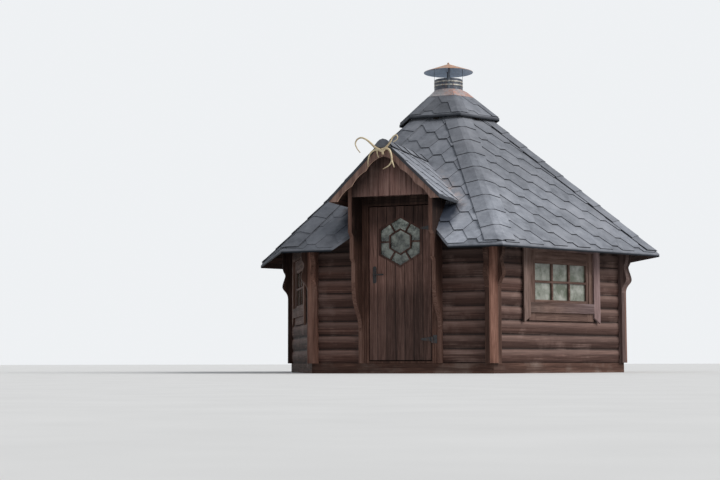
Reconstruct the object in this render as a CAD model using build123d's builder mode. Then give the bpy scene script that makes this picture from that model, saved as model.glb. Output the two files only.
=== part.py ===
from build123d import *
from math import cos, radians, sin, tan
import os

# Driving dimensions in millimetres. The origin is on the ground under the hut's
# centre, +Z is up and the door faces -Y.

# Six-sided plan
wall_apothem = 1650         # from the centre to the outermost bulge of the logs
wall_thickness = 45
plinth_setback = 5
plinth_height = 100
plinth_thickness = 45
floor_thickness = 28
joist_width = 60
joist_count = 5

# Log walls
log_height = 140
log_bulge = 14
courses = 10

# Upright stiles at both ends of every wall, with a bracket shaped upper end. The
# bracket's heights are drops from the top of the logs.
stile_thickness = 45
stile_reach = 40            # how far the lower part stands out from the logs
bracket_reach = 104         # how far the two bulges of the bracket stand out
bracket_waist = 72
bracket_lip = 285
bracket_neck = 400
bracket_bulge = 535
bracket_start = 670
corner_cover_depth = 30
corner_gap = 0.5

# Main roof, which rests on a bevelled plate on the logs
plate_height = 40           # at the plate's outer face
eave_overhang = 333
roof_pitch = 44.4
roof_thickness = 22
roof_top_apothem = 380      # half the width of the smoke opening
eave_trim_width = 172       # the eaves beside the porch are trimmed to a slant
eave_trim_depth = 165

# Raised cap over the smoke opening
cap_overlap = 123           # of the cap past the smoke opening
cap_gap = 60
spacer_width = 60
spacer_depth = 60
spacer_inset = 20

# Flue, its skirt and its cowl
flue_radius = 154
flue_sheet = 3
flue_room = 36              # from the flue to the edge of the cap
flue_depth = 46             # of the flue below the edge of the cap
flue_stand = 120            # of the flue above its skirt
band_height = 14
band_sheet = 2
band_pitch = 40
skirt_lap = 63              # of the skirt over the edge of the cap
skirt_sheet = 4
skirt_rise = 28
skirt_room = 30             # from the flue to the flat sides of the skirt's neck
cowl_overhang = 119
cowl_gap = 85               # from the flue's end up to the cowl's rim
cowl_rise = 98
cowl_sheet = 3
knob_radius = 13
stay_width = 22
stay_sheet = 3
stay_count = 4
first_stay = 20             # degrees round from the +X axis
sliding_gap = 0.3

# Door
door_half_width = 333
door_head = 1670
door_head_height = 90
jamb_width = 65
frame_depth = 55
moulding_grooves = 2
moulding_width = 6
moulding_depth = 5
threshold_height = 20
leaf_gap = 10
leaf_thickness = 40
leaf_recess = 10            # the leaf's face lies behind the frame's face
light_radius = 238          # six-cornered window in the leaf, centre to corner
light_drop = 364            # its centre below the door head
light_frame = 24
light_bar = 14
light_inner_ratio = 0.53
glass_thickness = 4

# Lever handle, by its height over the plinth
handle_height = 880
handle_inset = 55
lever_reach = 38
lever_length = 105
lever_radius = 8
rose_width = 38
rose_height = 170
rose_thickness = 6

# Hinges
hinge_inset = 235           # from the door head, and from the plinth
pin_radius = 5
pin_gap = 0.3
pin_offset = 2              # of the pin past the edge of the door opening
pin_stand = 12              # from the frame's face to the pin's axis
pin_tip = 6
eye_wall = 4
eye_height = 40
lug_height = 16
strap_length = 96
strap_height = 34
strap_thickness = 4
strap_bend = 36
plate_thickness = 4
plate_width = 40

# Porch over the door
porch_reach = 300           # of the cheeks, from the face of the logs
porch_overhang = 190        # of the porch roof past the cheeks
porch_eave = 128            # overhang at each side
porch_headroom = 79         # over the door frame, beside the cheeks
porch_pitch = 44.4
cheek_thickness = 40
cheek_step = 46
cheek_slant = 35            # height of each slanted step
upper_step = 285            # drops from the door head
lower_step = 540
cheek_curve = 770
cheek_foot = 320            # height of the straight foot over the plinth
cheek_foot_reach = 5
cheek_belly = 65
bargeboard_depth = 64
bargeboard_thickness = 20
bargeboard_apex = 130       # depth where the two boards meet
first_scallop = 180
scallop_count = 2
scallop_depth = 16
apex_scallop_depth = 24
infill_thickness = 20
infill_drop = 25            # of the infill's lower edge below the top of the door frame
infill_board = 115
groove_width = 4
groove_depth = 4

# Antlers on the gable. Each route runs from the burr to a tip, as distances to
# the right of the ridge and above it.
antler_stand = 22
burr_radius = 29
burr_lip = 4                # of the burr in front of the beams
burr_place = (6, -84)
main_beam = 11
side_tine = 8.5
tip_length = 26
tip_taper = 10
left_beam = [(-10, -76), (-70, -44), (-171, 42), (-232, 58), (-276, 12), (-262, -38), (-232, -78)]
left_brow = [(-30, -66), (-104, -84), (-138, -140), (-146, -212)]
left_point = [(-48, -60), (-50, -96), (-38, -124)]
right_beam = [(10, -64), (62, -66), (94, -136), (101, -192)]
right_inner = [(101, -184), (78, -222), (28, -254)]
right_outer = [(101, -184), (112, -214), (122, -230)]
right_curl = [(14, -70), (87, 0), (118, 56), (158, 62), (158, 22), (124, 2)]

# Windows, by the logs that they take the place of
window_half_width = 470
window_first_course = 3
window_last_course = 8
window_frame_depth = 56
window_side = 98            # width of the frame beside the panes
window_sill = 208           # height of the panes over the opening's lower edge
pane_height = 363
bar_width = 22
rebate = 12
sash_width = 36
sash_recess = 8
casing_width = 90
casing_thickness = 20
casing_lap = 5
casing_toe = 20             # the casings' lower ends are cut to a slant
casing_heel = 40
apron_rise = 80
apron_height = 100

# Values worked out from the dimensions above
sides = ("front", "right_front", "right_back", "back", "left_back", "left_front")
window_sides = ("right_front", "back", "left_front")
side_angle = 360 / len(sides)
half_angle = radians(side_angle / 2)
facets = {name: turn * side_angle - 90 for turn, name in enumerate(sides)}
pitch = tan(radians(roof_pitch))
roof_rise = roof_thickness / cos(radians(roof_pitch))
inner_apothem = wall_apothem - wall_thickness
log_apothem = wall_apothem - log_bulge
plinth_apothem = wall_apothem - plinth_setback
floor_apothem = plinth_apothem - plinth_thickness
stile_end = inner_apothem * tan(half_angle) - corner_gap
stile_inner = stile_end - stile_thickness
wall_top = plinth_height + courses * log_height
eave_apothem = wall_apothem + eave_overhang
eave_height = wall_top + plate_height - (eave_apothem - log_apothem) * pitch
frame_face = inner_apothem + frame_depth
head_top = door_head + door_head_height
cheek_inner = door_half_width + jamb_width
cheek_outer = cheek_inner + cheek_thickness
cheek_front = wall_apothem + porch_reach
porch_front = cheek_front + porch_overhang
porch_half_width = cheek_outer + porch_eave
porch_slope = tan(radians(porch_pitch))
porch_rise = roof_thickness / cos(radians(porch_pitch))
porch_ridge = head_top + porch_headroom + cheek_inner * porch_slope
big = 4 * wall_apothem


def roof_under(apothem):
    """Height of the main roof's underside at a distance from the centre."""
    return eave_height + (eave_apothem - apothem) * pitch


def roof_over(apothem):
    return roof_under(apothem) + roof_rise


cap_apothem = roof_top_apothem + cap_overlap
cap_top_apothem = flue_radius + flue_room
cap_height = roof_over(cap_apothem) + cap_gap


def cap_under(apothem):
    return cap_height + (cap_apothem - apothem) * pitch


def cap_over(apothem):
    return cap_under(apothem) + roof_rise


def porch_under(x):
    """Height of the porch roof's underside at a distance from its ridge."""
    return porch_ridge - abs(x) * porch_slope


def valley(x):
    """Distance from the centre where the porch's underside meets the main roof."""
    return eave_apothem - (porch_under(x) - eave_height - roof_rise) / pitch


def facet_plane(angle, apothem=0.0):
    """Plane facing outwards: x runs along the wall and y goes up."""
    a = radians(angle)
    return Plane(
        origin=(apothem * cos(a), apothem * sin(a), 0),
        x_dir=(-sin(a), cos(a), 0),
        z_dir=(cos(a), sin(a), 0),
    )


def section_plane(angle, along):
    """Upright section through a wall: x is the distance from the centre and y
    goes up. An extrusion runs back along the wall from the given place."""
    a = radians(angle)
    return Plane(
        origin=(-sin(a) * along, cos(a) * along, 0),
        x_dir=(cos(a), sin(a), 0),
        z_dir=(sin(a), -cos(a), 0),
    )


def plan_plane(angle, height=0.0):
    a = radians(angle)
    return Plane(origin=(0, 0, height), x_dir=(cos(a), sin(a), 0), z_dir=(0, 0, 1))


def save(builder, label):
    builder.part.label = label
    export_step(builder.part, f"parts/{label}.step")


os.makedirs("parts", exist_ok=True)

# Plinth ring and floor

with BuildPart() as plinth_frame:
    with BuildSketch(Plane.XY):
        RegularPolygon(plinth_apothem, 6, major_radius=False)
        RegularPolygon(floor_apothem, 6, major_radius=False, mode=Mode.SUBTRACT)
    extrude(amount=plinth_height)
save(plinth_frame, "plinth_frame")

with BuildPart() as floor_boards:
    with BuildSketch(Plane.XY.offset(plinth_height - floor_thickness)):
        RegularPolygon(floor_apothem, 6, major_radius=False)
    extrude(amount=floor_thickness)
save(floor_boards, "floor_boards")

joist_pitch = 2 * floor_apothem / (joist_count + 1)
with BuildPart() as floor_joists:
    with BuildSketch(Plane.XY):
        RegularPolygon(floor_apothem, 6, major_radius=False)
    extrude(amount=plinth_height - floor_thickness)
    with BuildSketch(Plane.XY):
        with GridLocations(1, joist_pitch, 1, joist_count):
            Rectangle(big, joist_width)
    extrude(amount=plinth_height, mode=Mode.INTERSECT)
save(floor_joists, "floor_joists")


# Log walls

def log_wall(angle, start, end):
    """A stack of round-faced logs from one place along the wall to another."""
    with BuildPart() as wall:
        with BuildSketch(section_plane(angle, end)):
            with BuildLine():
                Polyline(
                    (log_apothem, wall_top),
                    (inner_apothem, wall_top),
                    (inner_apothem, plinth_height),
                    (log_apothem, plinth_height),
                )
                for course in range(courses):
                    foot = plinth_height + course * log_height
                    ThreePointArc(
                        (log_apothem, foot),
                        (wall_apothem, foot + log_height / 2),
                        (log_apothem, foot + log_height),
                    )
            make_face()
        extrude(amount=end - start)
    return wall


window_bottom = plinth_height + window_first_course * log_height
window_top = plinth_height + window_last_course * log_height
window_middle = (window_bottom + window_top) / 2


def window_wall(angle):
    """A log wall with a window opening cut through it."""
    with BuildPart() as wall:
        add(log_wall(angle, -stile_inner, stile_inner).part)
        with BuildSketch(facet_plane(angle, inner_apothem)):
            with Locations((0, window_middle)):
                Rectangle(2 * window_half_width, window_top - window_bottom)
        extrude(amount=2 * wall_thickness, both=True, mode=Mode.SUBTRACT)
    return wall


save(log_wall(facets["front"], -stile_inner, -cheek_outer), "wall_front_left")
save(log_wall(facets["front"], cheek_outer, stile_inner), "wall_front_right")
for name, angle in facets.items():
    if name in window_sides:
        save(window_wall(angle), f"wall_{name}")
    elif name != "front":
        save(log_wall(angle, -stile_inner, stile_inner), f"wall_{name}")

# Top plates, bevelled under the roof

with BuildPart() as wall_plates:
    for name, angle in facets.items():
        runs = [(-stile_inner, stile_inner)]
        if name == "front":
            runs = [(-stile_inner, -cheek_outer), (cheek_outer, stile_inner)]
        for start, end in runs:
            with BuildSketch(section_plane(angle, end)):
                Polygon(
                    (inner_apothem, wall_top),
                    (log_apothem, wall_top),
                    (log_apothem, roof_under(log_apothem)),
                    (inner_apothem, roof_under(inner_apothem)),
                    align=None,
                )
            extrude(amount=end - start)
save(wall_plates, "wall_plates")


# Stiles with a bracket shaped outer edge, and the covers between them

def stile_outline():
    lower = wall_apothem + stile_reach
    bulge = wall_apothem + bracket_reach
    waist = wall_apothem + bracket_waist
    with BuildLine() as outline:
        Polyline(
            (bulge, wall_top - bracket_lip),
            (bulge, roof_under(bulge)),
            (inner_apothem, roof_under(inner_apothem)),
            (inner_apothem, plinth_height),
            (lower, plinth_height),
            (lower, wall_top - bracket_start),
        )
        Spline(
            (lower, wall_top - bracket_start),
            (bulge, wall_top - bracket_bulge),
            (waist, wall_top - bracket_neck),
            (bulge, wall_top - bracket_lip),
            tangents=((0, 1), (0, 1)),
        )
    return outline


with BuildPart() as corner_stiles:
    for angle in facets.values():
        for end in (-stile_inner, stile_end):
            with BuildSketch(section_plane(angle, end)):
                add(stile_outline())
                make_face()
            extrude(amount=stile_thickness)
save(corner_stiles, "corner_stiles")

cover_outer = wall_apothem + stile_reach
cover_inner = cover_outer - corner_cover_depth


def cover_point(apothem, side):
    """Plan point on a stile's end face, in a frame that points at the corner."""
    out = apothem * cos(half_angle) + stile_end * sin(half_angle)
    across = apothem * sin(half_angle) - stile_end * cos(half_angle)
    return (out, side * across)


with BuildPart() as corner_covers:
    for angle in facets.values():
        with BuildSketch(plan_plane(angle + side_angle / 2, plinth_height)):
            Polygon(
                cover_point(cover_inner, -1),
                cover_point(cover_outer, -1),
                cover_point(cover_outer, 1),
                cover_point(cover_inner, 1),
                align=None,
            )
        extrude(amount=roof_under(cover_outer) - plinth_height)
save(corner_covers, "corner_covers")


# Main roof, one board panel for each side of the hexagon

def roof_panel(angle):
    with BuildPart() as panel:
        with BuildSketch(section_plane(angle, big / 2)):
            Polygon(
                (roof_top_apothem, roof_under(roof_top_apothem)),
                (eave_apothem, eave_height),
                (eave_apothem, eave_height + roof_rise),
                (roof_top_apothem, roof_over(roof_top_apothem)),
                align=None,
            )
        extrude(amount=big)
        with BuildSketch(plan_plane(angle)):
            Polygon(
                (0, 0),
                (big, -big * tan(half_angle)),
                (big, big * tan(half_angle)),
                align=None,
            )
        extrude(amount=big, mode=Mode.INTERSECT)
    return panel


with BuildPart() as roof_front:
    add(roof_panel(facets["front"]).part)
    trim_outer = cheek_outer + eave_trim_width
    trim_start = eave_apothem - eave_trim_depth
    with BuildSketch(Plane.XY):
        Polygon(
            (0, -valley(0)),
            (-cheek_outer, -valley(cheek_outer)),
            (-cheek_outer, -trim_start),
            (-trim_outer, -eave_apothem),
            (-trim_outer, -big),
            (trim_outer, -big),
            (trim_outer, -eave_apothem),
            (cheek_outer, -trim_start),
            (cheek_outer, -valley(cheek_outer)),
            align=None,
        )
    extrude(amount=big, mode=Mode.SUBTRACT)
save(roof_front, "roof_front")

for name, angle in facets.items():
    if name != "front":
        save(roof_panel(angle), f"roof_{name}")

# Raised cap and the blocks that carry it

spacer_inner = roof_top_apothem + spacer_inset
spacer_outer = spacer_inner + spacer_depth
with BuildPart() as cap_spacers:
    for angle in facets.values():
        with BuildSketch(section_plane(angle, spacer_width / 2)):
            Polygon(
                (spacer_inner, roof_over(spacer_inner)),
                (spacer_outer, roof_over(spacer_outer)),
                (spacer_outer, cap_under(spacer_outer)),
                (spacer_inner, cap_under(spacer_inner)),
                align=None,
            )
        extrude(amount=spacer_width)
save(cap_spacers, "cap_spacers")


def hexagon_frustum(lower_apothem, lower, upper_apothem, upper):
    with BuildPart() as frustum:
        with BuildSketch(Plane.XY.offset(lower)):
            RegularPolygon(lower_apothem, 6, major_radius=False)
        with BuildSketch(Plane.XY.offset(upper)):
            RegularPolygon(upper_apothem, 6, major_radius=False)
        loft(ruled=True)
    return frustum.part


def hexagon_to_round(apothem, lower, radius, upper):
    with BuildPart() as transition:
        with BuildSketch(Plane.XY.offset(lower)):
            RegularPolygon(apothem, 6, major_radius=False)
        with BuildSketch(Plane.XY.offset(upper)):
            Circle(radius)
        loft(ruled=True)
    return transition.part


with BuildPart() as roof_cap:
    with BuildSketch(Plane.XY.offset(cap_height)):
        RegularPolygon(cap_apothem, 6, major_radius=False)
    extrude(amount=roof_rise)
    add(hexagon_frustum(
        cap_apothem, cap_over(cap_apothem), cap_top_apothem, cap_over(cap_top_apothem)
    ))
    add(hexagon_frustum(
        cap_apothem, cap_height, cap_top_apothem, cap_under(cap_top_apothem)
    ), mode=Mode.SUBTRACT)
    with BuildSketch(Plane.XY.offset(cap_height)):
        RegularPolygon(cap_top_apothem, 6, major_radius=False)
    extrude(amount=big, mode=Mode.SUBTRACT)
save(roof_cap, "roof_cap")

# Metal skirt, flue and cowl

skirt_apothem = cap_top_apothem + skirt_lap
skirt_neck_apothem = flue_radius + skirt_room
skirt_bottom = cap_over(skirt_apothem - skirt_sheet)
skirt_neck = cap_over(skirt_neck_apothem - skirt_sheet)
skirt_top = skirt_neck + skirt_rise
skirt_inner = skirt_apothem - skirt_sheet
neck_inner = skirt_neck_apothem - skirt_sheet
collar_inner = flue_radius + sliding_gap
collar_outer = collar_inner + skirt_sheet
with BuildPart() as skirt_flashing:
    add(hexagon_frustum(skirt_apothem, skirt_bottom, skirt_neck_apothem, skirt_neck))
    add(hexagon_to_round(skirt_neck_apothem, skirt_neck, collar_outer, skirt_top))
    add(hexagon_frustum(skirt_inner, skirt_bottom, neck_inner, skirt_neck), mode=Mode.SUBTRACT)
    add(hexagon_to_round(neck_inner, skirt_neck, collar_inner, skirt_top), mode=Mode.SUBTRACT)
save(skirt_flashing, "skirt_flashing")

flue_bottom = cap_under(cap_top_apothem) - flue_depth
flue_top = skirt_top + flue_stand
with BuildPart() as flue:
    with BuildSketch(Plane.XY.offset(flue_bottom)):
        Circle(flue_radius)
        Circle(flue_radius - flue_sheet, mode=Mode.SUBTRACT)
    extrude(amount=flue_top - flue_bottom)
save(flue, "flue")

cowl_radius = flue_radius + cowl_overhang
cowl_rim = flue_top + cowl_gap
cowl_slope = cowl_rise / cowl_radius


def cowl_under(radius):
    return cowl_rim + (cowl_radius - radius) * cowl_slope


with BuildPart() as cowl:
    with BuildSketch(Plane.XZ):
        Polygon(
            (0, cowl_under(0)),
            (cowl_radius, cowl_rim),
            (cowl_radius, cowl_rim + cowl_sheet),
            (0, cowl_under(0) + cowl_sheet),
            align=None,
        )
    revolve(axis=Axis.Z)
save(cowl, "cowl")

knob_seat = cowl_under(0) + cowl_sheet + sliding_gap
with BuildPart() as cowl_knob:
    with BuildSketch(Plane.XY.offset(knob_seat)):
        Circle(knob_radius)
    extrude(amount=knob_radius, taper=20)
save(cowl_knob, "cowl_knob")

stay_inner = flue_radius + sliding_gap
stay_outer = stay_inner + stay_sheet
with BuildPart() as cowl_stays:
    for turn in range(stay_count):
        angle = first_stay + turn * 360 / stay_count
        with BuildSketch(section_plane(angle, stay_width / 2)):
            Polygon(
                (stay_inner, skirt_top + sliding_gap),
                (stay_outer, skirt_top + sliding_gap),
                (stay_outer, cowl_under(stay_outer) - sliding_gap),
                (stay_inner, cowl_under(stay_inner) - sliding_gap),
                align=None,
            )
        extrude(amount=stay_width)
save(cowl_stays, "cowl_stays")

band_inner = (stay_outer ** 2 + (stay_width / 2) ** 2) ** 0.5 + sliding_gap
with BuildPart() as flue_bands:
    for band in (1, 2):
        with BuildSketch(Plane.XY.offset(flue_top - band * band_pitch)):
            Circle(band_inner + band_sheet)
            Circle(band_inner, mode=Mode.SUBTRACT)
        extrude(amount=band_height)
save(flue_bands, "flue_bands")


# Porch: its two roof slopes, bargeboards, gable boards and cheeks

def porch_roof(side):
    with BuildPart() as slope:
        with BuildSketch(Plane.XZ.offset(porch_front)):
            Polygon(
                (0, porch_ridge),
                (side * porch_half_width, porch_under(porch_half_width)),
                (side * porch_half_width, porch_under(porch_half_width) + porch_rise),
                (0, porch_ridge + porch_rise),
                align=None,
            )
        extrude(amount=-porch_front)
        with BuildSketch(section_plane(facets["front"], big / 2)):
            Polygon(
                (0, roof_over(0)),
                (big, roof_over(big)),
                (0, roof_over(big)),
                align=None,
            )
        extrude(amount=big, mode=Mode.SUBTRACT)
    return slope


def bargeboard(side):
    """A board under the front edge of one slope, with hollows cut into its lower
    edge: a deep one at the gable's point and a row of even ones below it."""
    drop = bargeboard_depth / cos(radians(porch_pitch))
    tail = porch_half_width - drop / porch_slope
    run = (tail - first_scallop) / scallop_count
    cusps = [(0, porch_ridge - bargeboard_apex)]
    for n in range(scallop_count + 1):
        x = first_scallop + n * run
        cusps.append((x, porch_under(x) - drop))
    depths = [apex_scallop_depth] + [scallop_depth] * scallop_count
    with BuildPart() as board:
        with BuildSketch(Plane.XZ.offset(porch_front)):
            with BuildLine():
                Polyline(
                    (0, porch_ridge - bargeboard_apex),
                    (0, porch_ridge),
                    (side * porch_half_width, porch_under(porch_half_width)),
                    (side * tail, porch_under(porch_half_width)),
                )
                for start, end, depth in zip(cusps, cusps[1:], depths):
                    shift = depth * cos(radians(porch_pitch))
                    ThreePointArc(
                        (side * start[0], start[1]),
                        (side * ((start[0] + end[0]) / 2 + shift), (start[1] + end[1]) / 2 + shift),
                        (side * end[0], end[1]),
                    )
            make_face()
        extrude(amount=-bargeboard_thickness)
    return board


def gable(half_width, bottom):
    """Outline of a wall that fills the gable under the porch roof."""
    Polygon(
        (-half_width, bottom),
        (half_width, bottom),
        (half_width, porch_under(half_width)),
        (0, porch_ridge),
        (-half_width, porch_under(half_width)),
        align=None,
    )


save(porch_roof(-1), "porch_roof_left")
save(porch_roof(1), "porch_roof_right")
save(bargeboard(-1), "bargeboard_left")
save(bargeboard(1), "bargeboard_right")

infill_grooves = int(2 * cheek_inner / infill_board)
with BuildPart() as gable_infill:
    with BuildSketch(Plane.XZ.offset(cheek_front)):
        gable(cheek_inner, head_top - infill_drop)
    extrude(amount=-infill_thickness)
    with BuildSketch(Plane.XZ.offset(cheek_front)):
        with GridLocations(infill_board, 1, infill_grooves, 1):
            Rectangle(groove_width, big)
    extrude(amount=-groove_depth, mode=Mode.SUBTRACT)
save(gable_infill, "gable_infill")

with BuildPart() as gable_wall:
    with BuildSketch(Plane.XZ.offset(wall_apothem)):
        gable(cheek_inner, head_top)
    extrude(amount=-wall_thickness)
save(gable_wall, "gable_wall")


def cheek(side):
    """Board beside the door, stepped out towards the top, which runs up into
    the side wall of the porch roof."""
    foot = frame_face + cheek_foot_reach
    foot_top = plinth_height + cheek_foot
    middle = cheek_front - cheek_step
    lower = cheek_front - 2 * cheek_step
    curve_top = door_head - cheek_curve
    with BuildPart() as board:
        with BuildSketch(Plane.YZ.offset(side * (cheek_inner + cheek_thickness / 2))):
            with BuildLine():
                Polyline(
                    (-foot, foot_top),
                    (-foot, plinth_height),
                    (-inner_apothem, plinth_height),
                    (-inner_apothem, roof_under(inner_apothem)),
                    (-valley(cheek_outer), roof_over(valley(cheek_outer))),
                    (-valley(cheek_outer), porch_under(cheek_inner)),
                    (-cheek_front, porch_under(cheek_inner)),
                    (-cheek_front, door_head - upper_step),
                    (-middle, door_head - upper_step - cheek_slant),
                    (-middle, door_head - lower_step),
                    (-lower, door_head - lower_step - cheek_slant),
                    (-lower, curve_top),
                )
                Spline(
                    (-lower, curve_top),
                    (-lower + cheek_belly, (curve_top + foot_top) / 2),
                    (-foot, foot_top),
                    tangents=((0, -1), (0, -1)),
                )
            make_face()
        extrude(amount=cheek_thickness / 2, both=True)
        with BuildSketch(Plane.XZ.offset(big / 2)):
            Polygon(
                (0, porch_ridge),
                (side * big, porch_under(big)),
                (side * big, big),
                (0, big),
                align=None,
            )
        extrude(amount=-big, mode=Mode.SUBTRACT)
    return board


save(cheek(-1), "cheek_left")
save(cheek(1), "cheek_right")


# Antlers, fixed by their burr where the bargeboards meet

def horn(points, radius):
    """A round beam along a route, tapering over a short tip."""
    front = porch_front + antler_stand
    route = [Vector(x, -front, porch_ridge + z) for x, z in points]
    with BuildPart() as beam:
        with BuildLine():
            Polyline(*route)
        with BuildSketch(Plane(origin=route[0], z_dir=route[1] - route[0])):
            Circle(radius)
        sweep(transition=Transition.RIGHT)
        with BuildSketch(Plane(origin=route[-1], z_dir=route[-1] - route[-2])):
            Circle(radius)
        extrude(amount=tip_length, taper=tip_taper)
    return beam.part


with BuildPart() as antlers:
    with BuildSketch(Plane.XZ.offset(porch_front)):
        with Locations((burr_place[0], porch_ridge + burr_place[1])):
            Circle(burr_radius)
    extrude(amount=antler_stand + main_beam + burr_lip)
    for points in (left_beam, right_beam):
        add(horn(points, main_beam))
    for points in (left_brow, left_point, right_inner, right_outer, right_curl):
        add(horn(points, side_tine))
save(antlers, "antlers")


# Door frame

def groove_places(start, width):
    """Centres of the grooves that are moulded into a frame's face."""
    return [start + width * (n + 1) / (moulding_grooves + 1) for n in range(moulding_grooves)]


def jamb(side):
    middle = door_half_width + jamb_width / 2
    with BuildPart() as post:
        with BuildSketch(plan_plane(0, plinth_height)):
            with Locations((side * middle, -(inner_apothem + frame_face) / 2)):
                Rectangle(jamb_width, frame_depth)
            for place in groove_places(door_half_width, jamb_width):
                with Locations((side * place, -frame_face)):
                    Rectangle(moulding_width, 2 * moulding_depth, mode=Mode.SUBTRACT)
        extrude(amount=door_head - plinth_height)
    return post


save(jamb(-1), "door_jamb_left")
save(jamb(1), "door_jamb_right")

with BuildPart() as door_head_rail:
    with BuildSketch(Plane.YZ.offset(-cheek_inner)):
        with Locations((-(inner_apothem + frame_face) / 2, (door_head + head_top) / 2)):
            Rectangle(frame_depth, door_head_height)
        for place in groove_places(door_head, door_head_height):
            with Locations((-frame_face, place)):
                Rectangle(2 * moulding_depth, moulding_width, mode=Mode.SUBTRACT)
    extrude(amount=2 * cheek_inner)
save(door_head_rail, "door_head_rail")

with BuildPart() as door_threshold:
    with BuildSketch(Plane.XZ.offset(frame_face)):
        with Locations((0, plinth_height + threshold_height / 2)):
            Rectangle(2 * door_half_width, threshold_height)
    extrude(amount=-frame_depth)
save(door_threshold, "door_threshold")

# Door leaf with its six-cornered window

leaf_half_width = door_half_width - leaf_gap
leaf_face = frame_face - leaf_recess
leaf_back = leaf_face - leaf_thickness
leaf_bottom = plinth_height + threshold_height + leaf_gap
leaf_top = door_head - leaf_gap
leaf_hole = light_radius + light_frame
light_height = door_head - light_drop
with BuildPart() as door_leaf:
    with BuildSketch(Plane.XZ.offset(leaf_face)):
        with Locations((0, (leaf_bottom + leaf_top) / 2)):
            Rectangle(2 * leaf_half_width, leaf_top - leaf_bottom)
        with Locations((0, light_height)):
            RegularPolygon(leaf_hole, 6, rotation=90, mode=Mode.SUBTRACT)
    extrude(amount=-leaf_thickness)
save(door_leaf, "door_leaf")

inner_light = light_radius * light_inner_ratio
light_flat = light_radius * cos(half_angle)
inner_flat = inner_light * cos(half_angle)
glass_face = leaf_face - leaf_thickness / 2
with BuildPart() as door_light_frame:
    with BuildSketch(Plane.XZ.offset(leaf_face)):
        with Locations((0, light_height)):
            RegularPolygon(leaf_hole, 6, rotation=90)
            RegularPolygon(light_radius, 6, rotation=90, mode=Mode.SUBTRACT)
            RegularPolygon(inner_light + light_bar / 2, 6, rotation=90)
            RegularPolygon(inner_light - light_bar / 2, 6, rotation=90, mode=Mode.SUBTRACT)
            with PolarLocations((light_flat + inner_flat) / 2, 6):
                Rectangle(light_flat - inner_flat, light_bar)
    extrude(amount=-leaf_thickness)
    with BuildSketch(Plane.XZ.offset(glass_face)):
        with Locations((0, light_height)):
            RegularPolygon(light_radius + rebate, 6, rotation=90)
    extrude(amount=-leaf_thickness, mode=Mode.SUBTRACT)
save(door_light_frame, "door_light_frame")

with BuildPart() as door_glass:
    with BuildSketch(Plane.XZ.offset(glass_face)):
        with Locations((0, light_height)):
            RegularPolygon(light_radius + rebate, 6, rotation=90)
    extrude(amount=-glass_thickness)
save(door_glass, "door_glass")

# Hinges on the right-hand jamb and the lever on the other side

pin_x = door_half_width + pin_offset
pin_y = -(frame_face + pin_stand)
eye_radius = pin_radius + pin_gap + eye_wall
hinge_heights = (plinth_height + hinge_inset, door_head - hinge_inset)

with BuildPart() as hinge_pintles:
    for height in hinge_heights:
        lug_bottom = height - eye_height / 2 - sliding_gap - lug_height
        with BuildSketch(Plane.XY.offset(lug_bottom)):
            with Locations((pin_x, pin_y)):
                Circle(eye_radius)
            Polygon(
                (pin_x, pin_y - eye_radius),
                (pin_x + eye_radius, pin_y - eye_radius / 2),
                (pin_x + 2 * eye_radius, -frame_face),
                (pin_x, -frame_face),
                align=None,
            )
        extrude(amount=lug_height)
        with BuildSketch(Plane.XY.offset(lug_bottom)):
            with Locations((pin_x, pin_y)):
                Circle(pin_radius)
        extrude(amount=lug_height + eye_height + pin_tip)
        with BuildSketch(Plane.XZ.offset(frame_face)):
            with Locations((pin_x + eye_radius + plate_width / 2, height)):
                Rectangle(plate_width, 2 * eye_height)
        extrude(amount=plate_thickness)
save(hinge_pintles, "hinge_pintles")

strap_face = leaf_face + strap_thickness
strap_heel = leaf_half_width - strap_thickness
strap_root = strap_heel - strap_bend
strap_end = leaf_half_width - strap_length
with BuildPart() as hinge_straps:
    for height in hinge_heights:
        with BuildSketch(Plane.XY.offset(height - eye_height / 2)):
            with Locations((pin_x, pin_y)):
                Circle(eye_radius)
            Polygon(
                (pin_x, pin_y - eye_radius),
                (pin_x, pin_y),
                (strap_heel, -leaf_face),
                (strap_root, -leaf_face),
                (strap_root, -strap_face),
                (strap_heel - eye_radius, -strap_face),
                align=None,
            )
            with Locations((pin_x, pin_y)):
                Circle(pin_radius + pin_gap, mode=Mode.SUBTRACT)
        extrude(amount=eye_height)
        with BuildSketch(Plane.XZ.offset(leaf_face)):
            with BuildLine():
                Polyline(
                    (strap_end, height - strap_height / 3),
                    (strap_root + eye_radius, height - strap_height / 2),
                    (strap_root + eye_radius, height + strap_height / 2),
                    (strap_end, height + strap_height / 3),
                )
                ThreePointArc(
                    (strap_end, height + strap_height / 3),
                    (strap_end - strap_height / 3, height),
                    (strap_end, height - strap_height / 3),
                )
            make_face()
        extrude(amount=strap_thickness)
save(hinge_straps, "hinge_straps")

handle_x = -(leaf_half_width - handle_inset)
handle_z = plinth_height + handle_height
with BuildPart() as door_handle:
    for face, way in ((leaf_face, 1), (leaf_back, -1)):
        with BuildSketch(Plane.XZ.offset(face)):
            with Locations((handle_x, handle_z)):
                SlotOverall(rose_height, rose_width, rotation=90)
        extrude(amount=way * rose_thickness)
        with BuildSketch(Plane.XZ.offset(face)):
            with Locations((handle_x, handle_z)):
                Circle(lever_radius)
        extrude(amount=way * (lever_reach + lever_radius))
        with BuildSketch(Plane.YZ.offset(handle_x)):
            with Locations((-(face + way * lever_reach), handle_z)):
                Circle(lever_radius)
        extrude(amount=lever_length)
save(door_handle, "door_handle")


# Windows

pane_half_width = window_half_width - window_side
pane_middle = window_bottom + window_sill + pane_height / 2
casing_back = inner_apothem + window_frame_depth


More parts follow.
